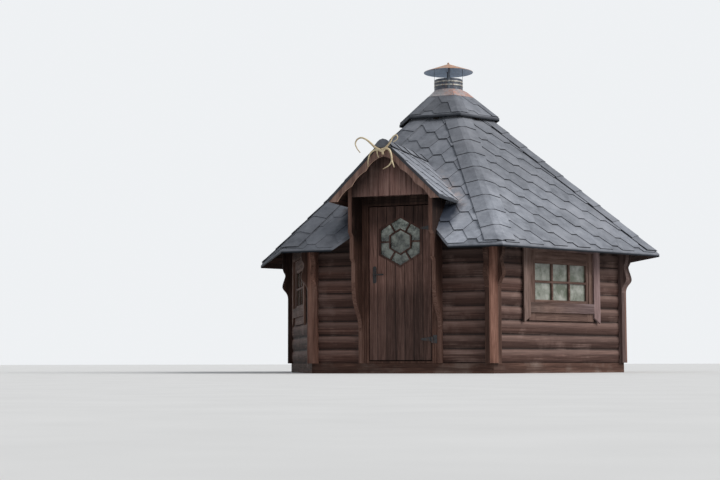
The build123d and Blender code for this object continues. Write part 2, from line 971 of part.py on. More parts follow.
def window_frame(angle):
    """Frame, sash and bars of one window, with a rebate for the glass."""
    pane_width = 2 * pane_half_width
    with BuildPart() as frame:
        with BuildSketch(facet_plane(angle, inner_apothem)):
            with Locations((0, window_middle)):
                Rectangle(2 * window_half_width, window_top - window_bottom)
            with Locations((0, pane_middle)):
                Rectangle(pane_width, pane_height, mode=Mode.SUBTRACT)
                Rectangle(pane_width, bar_width)
                with GridLocations(pane_width / 3, 1, 2, 1):
                    Rectangle(bar_width, pane_height)
        extrude(amount=window_frame_depth)
        with BuildSketch(facet_plane(angle, inner_apothem)):
            with Locations((0, pane_middle)):
                Rectangle(pane_width + 2 * rebate, pane_height + 2 * rebate)
        extrude(amount=window_frame_depth / 2, mode=Mode.SUBTRACT)
        with BuildSketch(facet_plane(angle, casing_back)):
            with Locations((0, pane_middle)):
                Rectangle(pane_width + 2 * sash_width, pane_height + 2 * sash_width)
        extrude(amount=-sash_recess, mode=Mode.SUBTRACT)
    return frame


for name in window_sides:
    save(window_frame(facets[name]), f"window_{name}")

with BuildPart() as window_glass:
    for name in window_sides:
        with BuildSketch(facet_plane(facets[name], inner_apothem + window_frame_depth / 2)):
            with Locations((0, pane_middle)):
                Rectangle(2 * (pane_half_width + rebate), pane_height + 2 * rebate)
        extrude(amount=-glass_thickness)
save(window_glass, "window_glass")

casing_inner = window_half_width - casing_lap
casing_outer = casing_inner + casing_width
casing_top = roof_under(casing_back + casing_thickness)
with BuildPart() as window_casings:
    for name in window_sides:
        with BuildSketch(facet_plane(facets[name], casing_back)):
            for side in (-1, 1):
                Polygon(
                    (side * casing_inner, window_bottom + casing_heel),
                    (side * casing_outer, window_bottom - casing_toe),
                    (side * casing_outer, casing_top),
                    (side * casing_inner, casing_top),
                    align=None,
                )
            with Locations((0, window_bottom + apron_rise + apron_height / 2)):
                Rectangle(2 * casing_inner, apron_height)
            with Locations((0, (window_top + casing_top) / 2)):
                Rectangle(2 * casing_inner, casing_top - window_top)
        extrude(amount=casing_thickness)
save(window_casings, "window_casings")
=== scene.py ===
import bpy
import math
import random
from mathutils import Matrix, Vector


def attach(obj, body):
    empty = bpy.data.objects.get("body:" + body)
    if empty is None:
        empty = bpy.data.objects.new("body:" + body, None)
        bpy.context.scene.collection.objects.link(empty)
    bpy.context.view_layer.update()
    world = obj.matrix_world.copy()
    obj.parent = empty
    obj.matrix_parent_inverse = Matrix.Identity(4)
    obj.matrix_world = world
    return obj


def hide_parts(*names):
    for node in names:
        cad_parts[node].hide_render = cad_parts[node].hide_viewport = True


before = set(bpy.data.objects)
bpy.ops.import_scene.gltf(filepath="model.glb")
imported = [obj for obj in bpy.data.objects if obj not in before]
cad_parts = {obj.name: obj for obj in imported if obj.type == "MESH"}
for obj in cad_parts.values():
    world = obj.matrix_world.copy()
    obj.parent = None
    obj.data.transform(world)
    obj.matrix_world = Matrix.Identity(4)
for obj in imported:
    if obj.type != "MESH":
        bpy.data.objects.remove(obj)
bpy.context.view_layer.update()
random.seed(11)

# Sizes in metres that the pieces below share with the construction

PITCH = math.radians(44.4)
SLOPE = math.tan(PITCH)
RUN = math.cos(PITCH)
HALF_SIDE = math.radians(30)
ROOF_THICKNESS = 0.022
ROOF_RISE = ROOF_THICKNESS / RUN
LOG_FOOT = 0.1
LOG_HEIGHT = 0.14
WALL_TOP = 1.54
WALL_APOTHEM = 1.636
EAVE = 1.983
ROOF_TOP = 0.38
EAVE_TOP = WALL_TOP - (EAVE - WALL_APOTHEM) * SLOPE + ROOF_RISE
CAP_EAVE = 0.503
CAP_TOP = 0.257
CAP_GAP = 0.06
CAP_EAVE_TOP = EAVE_TOP + (EAVE - CAP_EAVE) * SLOPE + CAP_GAP + ROOF_RISE
CHEEK = 0.438
CHEEK_INNER = 0.398
CHEEK_TOP = 1.839
PORCH_FRONT = 2.14
PORCH_HALF = 0.566
PORCH_RIDGE = CHEEK_TOP + CHEEK_INNER * SLOPE
PORCH_TOP = PORCH_RIDGE + ROOF_RISE
VALLEY = EAVE - (PORCH_TOP - EAVE_TOP) / SLOPE
TRIM_DEPTH = 0.165
TRIM_WIDTH = 0.172

# Camera at the photograph's viewing angle

camera_data = bpy.data.cameras.new("camera")
camera_data.sensor_width = 36
camera_data.lens = 71.85
camera_data.clip_end = 400
camera = bpy.data.objects.new("camera", camera_data)
bpy.context.scene.collection.objects.link(camera)
camera.location = (4.7297, -15.0940, 0.1)
aim = Vector((-0.35675, 0.93028, 0.08551)).normalized().to_track_quat("-Z", "Y")
roll = Matrix.Rotation(math.radians(-0.124), 4, "Z").to_quaternion()
camera.rotation_mode = "QUATERNION"
camera.rotation_quaternion = aim @ roll
bpy.context.scene.camera = camera


# Shader graphs

WHITE = (1.0, 1.0, 1.0)


class Shader:
    """A principled material with short calls for its node graph."""

    def __init__(self, name, roughness=0.7, metallic=0.0):
        self.material = bpy.data.materials.new(name)
        self.material.use_nodes = True
        self.tree = self.material.node_tree
        self.surface = self.tree.nodes["Principled BSDF"]
        self.surface.inputs["Roughness"].default_value = roughness
        self.surface.inputs["Metallic"].default_value = metallic
        coords = self.tree.nodes.new("ShaderNodeTexCoord")
        self.place = coords.outputs["Object"]
        self.normal = coords.outputs["Normal"]

    def put(self, socket, value):
        if isinstance(value, bpy.types.NodeSocket):
            self.tree.links.new(value, socket)
        else:
            socket.default_value = value

    def math(self, operation, a, b=0.0):
        node = self.tree.nodes.new("ShaderNodeMath")
        node.operation = operation
        self.put(node.inputs[0], a)
        self.put(node.inputs[1], b)
        return node.outputs[0]

    def scaled(self, value, factor):
        return self.math("MULTIPLY", value, factor)

    def vector(self, operation, a, b=(0, 0, 0)):
        node = self.tree.nodes.new("ShaderNodeVectorMath")
        node.operation = operation
        self.put(node.inputs[0], a)
        self.put(node.inputs[1], b)
        return node.outputs["Value" if operation == "DOT_PRODUCT" else "Vector"]

    def split(self, vector):
        node = self.tree.nodes.new("ShaderNodeSeparateXYZ")
        self.put(node.inputs[0], vector)
        return node.outputs

    def join(self, x, y, z):
        node = self.tree.nodes.new("ShaderNodeCombineXYZ")
        for socket, value in zip(node.inputs, (x, y, z)):
            self.put(socket, value)
        return node.outputs[0]

    def across(self):
        """The place from left to right: 0 at -2 m, 0.5 in the middle and 1 at 2 m."""
        return self.math("ADD", self.scaled(self.split(self.place)[0], 0.25), 0.5)

    def tall(self, factor=0.5):
        """The height above the ground, times the factor that brings it below 1."""
        return self.scaled(self.split(self.place)[2], factor)

    def noise(self, vector, scale, detail=3.0, roughness=0.55, distortion=0.0):
        node = self.tree.nodes.new("ShaderNodeTexNoise")
        self.put(node.inputs["Vector"], vector)
        node.inputs["Scale"].default_value = scale
        node.inputs["Detail"].default_value = detail
        node.inputs["Roughness"].default_value = roughness
        node.inputs["Distortion"].default_value = distortion
        return node.outputs["Fac"]

    def white(self, value):
        node = self.tree.nodes.new("ShaderNodeTexWhiteNoise")
        node.noise_dimensions = "1D"
        self.put(node.inputs["W"], value)
        return node.outputs["Value"]

    def ramp(self, factor, *stops):
        node = self.tree.nodes.new("ShaderNodeValToRGB")
        self.put(node.inputs[0], factor)
        points = node.color_ramp.elements
        while len(points) < len(stops):
            points.new(0.5)
        for point, (place, colour) in zip(points, stops):
            point.position = place
            if isinstance(colour, (int, float)):
                colour = (colour, colour, colour)
            point.color = (*colour, 1)
        return node.outputs["Color"]

    def mix(self, factor, a, b, blend="MIX"):
        node = self.tree.nodes.new("ShaderNodeMix")
        node.data_type = "RGBA"
        node.blend_type = blend
        self.put(node.inputs[0], factor)
        self.put(node.inputs[6], a if isinstance(a, bpy.types.NodeSocket) else (*a, 1))
        self.put(node.inputs[7], b if isinstance(b, bpy.types.NodeSocket) else (*b, 1))
        return node.outputs[2]

    def times(self, colour, level):
        return self.mix(1.0, colour, level, "MULTIPLY")

    def attribute(self, name):
        node = self.tree.nodes.new("ShaderNodeAttribute")
        node.attribute_name = name
        return node.outputs["Fac"]

    def bump(self, height, strength, distance=0.002):
        node = self.tree.nodes.new("ShaderNodeBump")
        node.inputs["Strength"].default_value = strength
        node.inputs["Distance"].default_value = distance
        self.put(node.inputs["Height"], height)
        self.put(self.surface.inputs["Normal"], node.outputs[0])

    def finish(self, colour, roughness=None):
        self.put(self.surface.inputs["Base Color"], colour)
        if roughness is not None:
            self.put(self.surface.inputs["Roughness"], roughness)
        return self.material


def grain_coords(shader, upright, flat=0.0):
    """Coordinates that run along the board's own grain on any upright face. Boards
    nearer than flat to the side's centre line lie flat."""
    side = shader.vector("NORMALIZE", shader.vector("CROSS_PRODUCT", shader.normal, (0, 0, 1)))
    along = shader.vector("DOT_PRODUCT", shader.place, side)
    through = shader.vector("DOT_PRODUCT", shader.place, shader.normal)
    height = shader.split(shader.place)[2]
    stretch = 0.05
    stand = shader.join(along, shader.scaled(height, stretch), through)
    lie = shader.join(shader.scaled(along, stretch), height, through)
    if flat:
        inner = shader.math("LESS_THAN", shader.math("ABSOLUTE", along), flat)
        return along, height, shader.mix(inner, stand, lie)
    return along, height, stand if upright else lie


def stained(s, blend, tones):
    """A dark, a middle and a light tone over a blend of fibres and streaks."""
    return s.ramp(blend, *zip((0.34, 0.5, 0.68), tones))


def wood(name, tones, upright=False, board=0.0, start=0.0, logs=False, seam=0.0,
         wear=(0.22, 0.17, 0.15), wear_amount=0.5, flat=0.0, flat_level=1.0, front=None,
         flank_shade=None, below=None, painted_shading=None, sides=None, porch_roof_shadow=False):
    """Stained wood with fibres, streaks, tone changes from board to board and wear.
    front is a lighter, redder colour for faces towards the door's side, partly painted
    light, and the other faces then get a painted shade by height. below is a paler colour
    for faces that look down, partly wear and partly painted highlight. The other options
    paint shade and light: by height, from left to right, and as the shadow under the porch
    roof. Logs get painted shading round each log: shaded grooves, a shaded lower half and
    a lit top."""
    s = Shader(name)
    s.surface.inputs["Specular IOR Level"].default_value = 0.18
    along, height, grain = grain_coords(s, upright, flat)
    fibres = s.noise(grain, 120, 6, 0.65, 0.4)
    streaks = s.noise(grain, 22, 4, 0.6, 0.8)
    patches = s.noise(s.place, 3.2, 4, 0.6)
    blend = s.math("ADD", s.scaled(fibres, 0.45), s.scaled(streaks, 0.55))
    colour = stained(s, blend, tones)
    # front faces: a lighter colour, partly painted light; other faces: painted shade by height
    if front:
        facing = s.math("LESS_THAN", s.split(s.normal)[1], -0.5)
        colour = s.times(colour, s.ramp(s.tall(), *flank_shade))
        colour = s.mix(facing, colour, stained(s, blend, front))
    # faces that look down get a paler colour, partly wear and partly painted highlight
    if below:
        colour = s.mix(s.math("LESS_THAN", s.split(s.normal)[2], -0.3), colour, below)
    if flat:
        inner = s.math("LESS_THAN", s.math("ABSOLUTE", along), flat)
        colour = s.times(colour, s.ramp(inner, (0.0, 1.0), (1.0, flat_level)))
    # painted shade and light by height
    if painted_shading:
        colour = s.times(colour, s.ramp(s.tall(), *painted_shading))
    # painted shade and light from left to right
    if sides:
        colour = s.times(colour, s.ramp(s.across(), *sides))
    # painted shadow under the porch roof, deepest close under it
    if porch_roof_shadow:
        reach = s.math("ABSOLUTE", s.split(s.place)[0])
        roof = s.math("SUBTRACT", PORCH_TOP, s.scaled(reach, SLOPE))
        depth = s.math("SUBTRACT", roof, height)
        colour = s.times(colour, s.ramp(depth, (0.1, 0.22), (0.2, 0.5), (0.36, 1.0)))
    relief = s.scaled(fibres, 0.6)
    if board:
        boards = s.math("DIVIDE", s.math("SUBTRACT", along if upright else height, start), board)
        chance = s.white(s.math("ADD", s.math("FLOOR", boards), 7.3))
        level = s.ramp(chance, (0.0, 0.68), (1.0, 1.32))
        colour = s.mix(0.85, colour, s.times(colour, level))
        within = s.math("FRACT", boards)
        if logs:
            # painted shading round each log: shade in the grooves and on the lower half, light on
            # the top
            log_shading = s.ramp(within, (0.0, 0.06), (0.07, 0.6), (0.2, 0.88), (0.5, 0.98), (0.8, 1.16))
            groove_shade = s.ramp(within, (0.88, 1.0), (0.985, 0.12))
            colour = s.times(s.times(colour, log_shading), groove_shade)
            # dust on the top of each log, partly painted light there
            top = s.ramp(within, (0.45, 0.0), (0.82, 1.0), (0.97, 0.2))
            dust_and_top_light = s.math("MULTIPLY", top, s.noise(grain, 9, 5, 0.7))
            colour = s.mix(s.scaled(dust_and_top_light, wear_amount), colour, wear)
        else:
            edge = seam / board
            line = s.ramp(within, (0.0, 0.05), (edge, 1.0), (1 - edge, 1.0), (1.0, 0.05))
            colour = s.times(colour, line)
            relief = s.math("ADD", relief, s.scaled(line, 3.0))
    worn = s.ramp(patches, (0.5, 0.0), (0.72, 1.0))
    crests = s.ramp(streaks, (0.4, 0.0), (0.66, 1.0))
    rubbed = s.scaled(s.math("MULTIPLY", worn, crests), wear_amount)
    colour = s.mix(rubbed, colour, wear)
    s.bump(relief, 0.5, 0.003)
    return s.finish(colour, s.ramp(fibres, (0.3, 0.84), (0.7, 0.6)))


BOARD = ((0.026, 0.0124, 0.0091), (0.0585, 0.0286, 0.0208), (0.13, 0.069, 0.051))
BOARD_WEAR = (0.2, 0.125, 0.1)
# Painted shade under the eaves, by height
PAINTED_EAVE_SHADE = ((0.56, 1.0), (0.69, 0.55))

# Logs: darker towards the bottom and painted shade under the eaves by height; painted shade and
# light from left to right, bluish on the right.
log_wood = wood(
    "log_wood", ((0.0256, 0.0113, 0.0079), (0.067, 0.0318, 0.0245), (0.165, 0.088, 0.069)),
    board=LOG_HEIGHT, start=LOG_FOOT, logs=True, wear=(0.25, 0.17, 0.148), wear_amount=0.8,
    painted_shading=((0.1, 0.8), (0.25, 0.82), (0.42, 1.06), (0.5, 0.98), (0.535, 0.78), (0.562, 0.33),
           (0.6, 0.22)),
    sides=((0.1, (0.5, 0.4, 0.32)), (0.262, (0.6, 0.52, 0.46)), (0.275, 1.28), (0.4, 1.2),
           (0.6, 1.0), (0.85, (1.05, 1.14, 1.2))))
board_wood = wood("board_wood", BOARD, upright=True, wear=BOARD_WEAR)
# Plinth: painted shade on the left.
plinth_wood = wood(
    "plinth_wood", BOARD, wear=(0.24, 0.19, 0.165), wear_amount=0.7,
    sides=((0.1, (0.5, 0.42, 0.35)), (0.262, (0.62, 0.54, 0.48)), (0.275, 1.0)))
# Corner covers: painted light on the covers at the front's two corners.
red_wood = wood(
    "red_wood", ((0.0405, 0.0172, 0.0125), (0.092, 0.043, 0.031), (0.2, 0.107, 0.08)),
    upright=True, wear=(0.26, 0.14, 0.1), wear_amount=0.6,
    sides=((0.2, 1.0), (0.26, 1.45), (0.35, 1.0), (0.68, 1.0), (0.735, 1.6), (0.79, 1.0)))
# Cheeks: front faces lighter, partly painted light; the upper parts of their other faces get
# painted shade under the porch's eaves.
cheek_wood = wood(
    "cheek_wood", BOARD, upright=True, wear=(0.17, 0.1, 0.08),
    front=((0.0575, 0.0268, 0.0203), (0.121, 0.064, 0.0485), (0.225, 0.134, 0.105)),
    flank_shade=((0.6, 1.0), (0.68, 0.3), (0.83, 0.2)))
# Gable boards: painted shadow under the porch roof and its bargeboards.
gable_wood = wood(
    "gable_wood", ((0.125, 0.064, 0.053), (0.255, 0.145, 0.122), (0.44, 0.275, 0.238)),
    upright=True, board=0.115, start=-0.345, seam=0.003, wear=(0.26, 0.17, 0.145),
    wear_amount=0.6, porch_roof_shadow=True)
# Bargeboards: faces that look down paler, partly wear and partly painted highlight.
bargeboard_wood = wood(
    "bargeboard_wood", ((0.091, 0.05, 0.0405), (0.185, 0.113, 0.092), (0.335, 0.213, 0.175)),
    upright=True, wear=(0.32, 0.22, 0.17), wear_amount=0.6, below=(0.4, 0.26, 0.2))
# Door: painted light by height, strongest in the middle and fading towards the top under the porch
# and towards the bottom; more painted light on its left edge.
door_wood = wood(
    "door_wood", ((0.0205, 0.0112, 0.009), (0.05, 0.0272, 0.022), (0.107, 0.063, 0.052)),
    upright=True, board=0.095, start=-0.0475, seam=0.006, wear=(0.16, 0.09, 0.07),
    painted_shading=((0.15, 1.0), (0.38, 1.3), (0.46, 2.4), (0.56, 2.6), (0.68, 2.1), (0.76, 1.0)),
    sides=((0.419, 2.2), (0.45, 1.6), (0.5, 1.0), (0.58, 1.1)))
# Window frames: painted shade under the eaves.
frame_wood = wood(
    "frame_wood", ((0.046, 0.025, 0.0195), (0.098, 0.0575, 0.046), (0.195, 0.126, 0.103)),
    upright=True, flat=0.372, wear=(0.28, 0.19, 0.16), wear_amount=0.6, painted_shading=PAINTED_EAVE_SHADE)
# Casings: painted shade under the eaves and to the left, and painted light and shade with a bluish
# tint on the right.
casing_wood = wood(
    "casing_wood", ((0.082, 0.048, 0.039), (0.18, 0.111, 0.091), (0.33, 0.228, 0.193)),
    upright=True, flat=0.465, flat_level=0.56, wear=(0.3, 0.2, 0.17), wear_amount=0.7,
    painted_shading=PAINTED_EAVE_SHADE,
    sides=((0.12, (0.62, 0.52, 0.44)), (0.22, (0.85, 0.76, 0.68)), (0.75, 1.0),
           (0.79, (0.72, 0.77, 0.8)), (0.84, 1.0), (0.91, (1.12, 1.22, 1.45))))
light_wood = wood(
    "light_wood", ((0.036, 0.017, 0.0135), (0.075, 0.038, 0.031), (0.145, 0.083, 0.066)),
    upright=True, wear=(0.2, 0.13, 0.1))
# Corner stiles: painted shade under the eaves, painted light on the front-left corner and bluish
# painted light at the far right.
stile_wood = wood(
    "stile_wood", BOARD, upright=True, wear=BOARD_WEAR,
    painted_shading=((0.46, 1.0), (0.53, 0.78), (0.62, 0.55)),
    sides=((0.1, 0.8), (0.2, 1.0), (0.258, 1.1), (0.268, 2.3), (0.29, 2.3), (0.32, 1.0),
           (0.88, 1.0), (0.96, (2.0, 2.7, 3.4))))
# Door jambs and head: painted light lower down, painted shade at the head under the porch's gable.
jamb_wood = wood("jamb_wood", BOARD, upright=True, wear=BOARD_WEAR,
                 painted_shading=((0.7, 1.6), (0.81, 1.2), (0.85, 0.33)))
# Nearly black wood for the cap's spacers: painted shade of the gap under the cap.
spacer_shade_wood = wood(
    "spacer_shade_wood", ((0.006, 0.004, 0.004), (0.012, 0.009, 0.008), (0.022, 0.016, 0.014)),
    wear_amount=0.1)
floor_wood = wood(
    "floor_wood", ((0.2, 0.13, 0.075), (0.36, 0.25, 0.15), (0.5, 0.37, 0.24)))


def felt_colour(s, tone=None):
    """Mineral felt: fine granules, soft mottled patches and marks of rain, with a pale
    streak beside the porch's valley. On the lower roof it has painted shade to the left
    and at the far right, painted light right of the middle, and painted shade beside the
    cheeks under the porch's eaves."""
    right, back = s.split(s.place)[:2]
    reach = s.math("ABSOLUTE", right)
    quarter = s.tall(0.25)
    grit = s.noise(s.place, 420, 2, 0.7)
    mottle = s.noise(s.place, 9, 5, 0.65)
    clouds = s.noise(s.place, 2.1, 3, 0.55)
    blend = s.math("ADD", s.scaled(grit, 0.35), s.scaled(mottle, 0.65))
    colour = s.ramp(blend, (0.32, (0.105, 0.112, 0.13)), (0.52, (0.175, 0.187, 0.215)),
                    (0.7, (0.25, 0.262, 0.292)))
    pale = s.ramp(clouds, (0.48, 0.0), (0.7, 0.5))
    colour = s.mix(pale, colour, (0.275, 0.285, 0.32))
    colour = s.times(colour, s.ramp(quarter, (0.35, 1.3), (0.475, 1.0), (0.53, 0.86), (0.7, 0.82)))

    # painted shade and light across the lower roof
    side = s.ramp(s.across(), (0.36, 0.72), (0.5, 0.9), (0.62, 1.1), (0.74, 1.1), (0.81, 0.84))
    down = s.ramp(quarter, (0.36, 1.0), (0.46, 0.0))
    colour = s.mix(down, colour, s.times(colour, side))

    front = s.scaled(back, -1.0)
    away = s.math("ABSOLUTE", s.math("SUBTRACT", s.math("SUBTRACT", front, reach), VALLEY))
    near = s.math("MULTIPLY", s.ramp(away, (0.02, 1.0), (0.13, 0.0)),
                  s.ramp(reach, (0.2, 0.0), (0.42, 1.0), (0.6, 1.0), (0.68, 0.0)))
    streaky = s.ramp(s.noise(s.place, 17, 5, 0.75), (0.44, 0.0), (0.64, 0.6))
    colour = s.mix(s.math("MULTIPLY", near, streaky), colour, (0.4, 0.32, 0.295))

    # painted shade beside the cheeks under the porch's eaves, not past them
    cheek_shade = s.ramp(s.tall(), (0.675, 1.0), (0.725, (0.4, 0.43, 0.48)), (0.765, (0.12, 0.14, 0.18)),
                  (0.835, (0.075, 0.095, 0.135)), (0.845, 1.0))
    cheek_shade = s.mix(s.math("GREATER_THAN", back, -1.4), cheek_shade, WHITE)
    edge = s.math("ADD", reach, s.scaled(s.math("SUBTRACT", mottle, 0.5), 0.1))
    unshaded = s.ramp(edge, (0.545, 0.0), (0.65, 1.0))
    colour = s.times(colour, s.mix(unshaded, cheek_shade, WHITE))
    if tone is not None:
        colour = s.times(colour, s.math("ADD", s.scaled(tone, 0.26), 0.86))
    s.bump(s.math("ADD", grit, s.scaled(mottle, 0.6)), 0.35, 0.002)
    return colour


def felt(name):
    """The felt of shingles and strips: the tone of each face, which also holds the painted light of
    its slope, and its share of painted edge shadow.
    """
    s = Shader(name, 0.85)
    s.surface.inputs["Specular IOR Level"].default_value = 0.25
    colour = felt_colour(s, s.attribute("tone"))
    # the dark edge colour is painted shadow along the edges and undersides
    return s.finish(s.mix(s.attribute("edge_shadow"), colour, (0.012, 0.012, 0.015)))


def roof_deck():
    """Roof boards: felt on top and on the edges, stained boards underneath, with painted shade on
    the undersides higher up and on the edges.
    """
    s = Shader("roof_deck", 0.85)
    s.surface.inputs["Specular IOR Level"].default_value = 0.2
    up = s.split(s.normal)[2]
    tall = s.tall(0.3)
    height, grain = grain_coords(s, False)[1:]
    fibres = s.noise(grain, 60, 5, 0.6, 0.5)
    boards = s.math("DIVIDE", height, 0.066)
    seams = s.ramp(s.math("FRACT", boards), (0.0, 0.05), (0.08, 1.0), (0.92, 1.0), (1.0, 0.05))
    level = s.ramp(s.white(s.math("FLOOR", boards)), (0.0, 0.7), (1.0, 1.3))
    timber = s.ramp(fibres, (0.3, (0.024, 0.0105, 0.0075)), (0.7, (0.07, 0.034, 0.024)))
    timber = s.times(s.times(timber, seams), level)
    # painted shade on the undersides higher up, under the roofs
    timber = s.times(timber, s.ramp(tall, (0.6375, 1.0), (0.7125, 0.2)))
    colour = felt_colour(s)
    # painted shade on the edges, darkest on the lower part of the main eaves' edge and of the cap's
    # edge
    dark = s.ramp(tall, (0.3635, 1.0), (0.3652, 0.1), (0.43, 0.1), (0.49, 0.78), (0.6375, 0.78),
                  (0.7125, 0.98), (0.8245, 0.98), (0.8262, 0.55))
    edge = s.mix(dark, colour, (0.007, 0.0095, 0.014))
    colour = s.mix(s.ramp(up, (0.38, 1.0), (0.42, 0.0)), colour, edge)
    return s.finish(s.mix(s.math("LESS_THAN", up, -0.2), colour, timber))


def steel(name, dark, light, rust, amount, metallic=0.3, under=None, sided=False):
    """Weathered sheet steel with runs of rust, and another colour on faces that look
    down. Where sided is true, the rust is mostly on the right."""
    s = Shader(name, 0.62, metallic)
    right, back, height = s.split(s.place)
    drips = s.noise(s.join(right, back, s.scaled(height, 0.18)), 26, 5, 0.65, 0.6)
    spots = s.noise(s.place, 48, 4, 0.7)
    colour = s.ramp(spots, (0.35, dark), (0.68, light))
    blend = s.math("ADD", s.scaled(drips, 0.6), s.scaled(spots, 0.4))
    stain = s.ramp(blend, (0.55 - amount * 0.3, 0.0), (0.72 - amount * 0.3, 1.0))
    if sided:
        share = s.ramp(s.math("ADD", right, 0.5), (0.47, 0.2), (0.6, 1.0))
        stain = s.math("MULTIPLY", stain, share)
    colour = s.mix(stain, colour, s.ramp(spots, (0.3, rust), (0.7, tuple(v * 1.5 for v in rust))))
    if under:
        down = s.math("LESS_THAN", s.split(s.normal)[2], 0.0)
        below = s.ramp(spots, (0.3, under), (0.7, tuple(v * 1.6 for v in under)))
        colour = s.mix(down, colour, below)
    s.bump(spots, 0.4, 0.002)
    return s.finish(colour, s.ramp(stain, (0.0, 0.45), (1.0, 0.85)))


roof_felt = felt("roof_felt")
deck = roof_deck()
flue_steel = steel("flue_steel", (0.03, 0.037, 0.052), (0.075, 0.09, 0.118),
                   (0.13, 0.065, 0.045), 0.12)
rusty_steel = steel("rusty_steel", (0.24, 0.245, 0.26), (0.44, 0.45, 0.47),
                    (0.34, 0.19, 0.155), 0.5, sided=True)
stay_steel = steel("stay_steel", (0.075, 0.09, 0.113), (0.13, 0.15, 0.18),
                   (0.15, 0.1, 0.08), 0.1)
# Steel of the flue's bands: its pale patches are painted highlights, beside a little rust.
glint_steel = steel("glint_steel", (0.1, 0.105, 0.115), (0.62, 0.6, 0.53),
                   (0.26, 0.17, 0.14), 0.22)
cowl_steel = steel("cowl_steel", (0.27, 0.22, 0.185), (0.5, 0.44, 0.4),
                   (0.36, 0.19, 0.115), 0.55, under=(0.3, 0.37, 0.47))
ironwork = steel("ironwork", (0.018, 0.018, 0.02), (0.04, 0.04, 0.043),
                 (0.06, 0.03, 0.02), 0.1)


def pane(name, dark, light, low, scale):
    """Greenish glass with a mottled painted reflection, whose brightness goes with the
    height."""
    s = Shader(name, 0.08)
    reflection_mottle = s.noise(s.place, scale, 5, 0.62, 0.15)
    s.surface.inputs["Transmission Weight"].default_value = 0.4
    s.surface.inputs["IOR"].default_value = 1.5
    painted_reflection = s.ramp(reflection_mottle, (0.38, dark), (0.64, light))
    return s.finish(s.times(painted_reflection, s.ramp(s.tall(), *low)))


# The door's glass: a brighter painted reflection at the top. The windows' glass: a brighter one low
# down and a darker one under the eaves.
door_pane = pane("door_pane", (0.05, 0.066, 0.055), (0.47, 0.51, 0.45),
                 ((0.56, 0.85), (0.68, 0.9), (0.74, 1.9)), 13)
window_pane = pane("window_pane", (0.13, 0.15, 0.11), (0.38, 0.39, 0.35),
                   ((0.5, 1.3), (0.62, 0.85)), 8)


def horn_material():
    s = Shader("horn", 0.55)
    ridges = s.noise(s.place, 70, 5, 0.7)
    soft = s.noise(s.place, 14, 3)
    colour = s.ramp(ridges, (0.3, (0.33, 0.24, 0.135)), (0.5, (0.58, 0.48, 0.31)),
                    (0.72, (0.76, 0.67, 0.48)))
    colour = s.mix(s.ramp(soft, (0.45, 0.0), (0.7, 0.6)), colour, (0.3, 0.2, 0.11))
    s.bump(ridges, 0.6, 0.003)
    return s.finish(colour)


horn = horn_material()

# Finishes of the solids

FINISHES = {
    "corner_covers": red_wood, "corner_stiles": stile_wood, "plinth_frame": plinth_wood,
    "wall_plates": plinth_wood, "floor_boards": floor_wood, "floor_joists": floor_wood,
    "cheek_left": cheek_wood, "cheek_right": cheek_wood,
    "bargeboard_left": bargeboard_wood, "bargeboard_right": bargeboard_wood,
    "gable_infill": gable_wood, "gable_wall": gable_wood, "antlers": horn,
    "door_jamb_left": jamb_wood, "door_jamb_right": jamb_wood, "door_head_rail": jamb_wood,
    "door_leaf": door_wood, "door_light_frame": light_wood, "door_glass": door_pane,
    "door_handle": ironwork, "hinge_pintles": ironwork, "hinge_straps": ironwork,
    "window_casings": casing_wood, "window_glass": window_pane, "cap_spacers": spacer_shade_wood,
    "skirt_flashing": rusty_steel, "flue": flue_steel, "flue_bands": glint_steel,
    "cowl_stays": stay_steel, "cowl": cowl_steel, "cowl_knob": cowl_steel,
}


def finish_of(name):
    if name in FINISHES:
        return FINISHES[name]
    if name.startswith("wall_"):
        return log_wood
    if name.startswith(("roof_", "porch_roof")):
        return deck
    return frame_wood if name.startswith("window_") else board_wood


for name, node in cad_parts.items():
    node.data.materials.clear()
    node.data.materials.append(finish_of(name))


# Felt on the roofs

def felt_piece(name, vertices, faces, tones, edge_shadows, body="hut"):
    """A piece of felt. Each face has its own tone, and its own share of the painted edge shadow."""
    mesh = bpy.data.meshes.new(name)
    mesh.from_pydata([tuple(v) for v in vertices], [], faces)
    for label, values in (("tone", tones), ("edge_shadow", edge_shadows)):
        layer = mesh.attributes.new(label, "FLOAT", "FACE")
        layer.data.foreach_set("value", values)
    mesh.materials.append(roof_felt)
    made = bpy.data.objects.new(name, mesh)
    bpy.context.scene.collection.objects.link(made)
    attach(made, body)


def clip(points, a, b, c):
    """The part of a convex polygon where a*u + b*v <= c."""
    kept = []
    for start, end in zip(points, points[1:] + points[:1]):
        first = a * start[0] + b * start[1] - c
        last = a * end[0] + b * end[1] - c
        if first <= 0:
            kept.append(start)
        if (first < 0 < last) or (last < 0 < first):
            share = first / (first - last)
            kept.append(tuple(p + (q - p) * share for p, q in zip(start, end)))
    return kept


class Plane:
    """A roof slope: u runs along the eave, v up the slope and h outwards."""

    def __init__(self, eave, along, up):
        self.eave = Vector(eave)
        self.along = Vector(along).normalized()
        self.up = Vector(up).normalized()
        self.out = self.along.cross(self.up).normalized()

    def at(self, u, v, h):
        return self.eave + self.along * u + self.up * v + self.out * h


def hexagon_slope(degrees, apothem, height):
    """The slope of a six-sided roof whose eave faces the way that degrees gives."""
    a = math.radians(degrees)
    out = Vector((math.cos(a), math.sin(a), 0))
    along = Vector((-math.sin(a), math.cos(a), 0))
    return Plane(out * apothem + Vector((0, 0, height)), along,
                 -out * RUN + Vector((0, 0, math.sin(PITCH))))


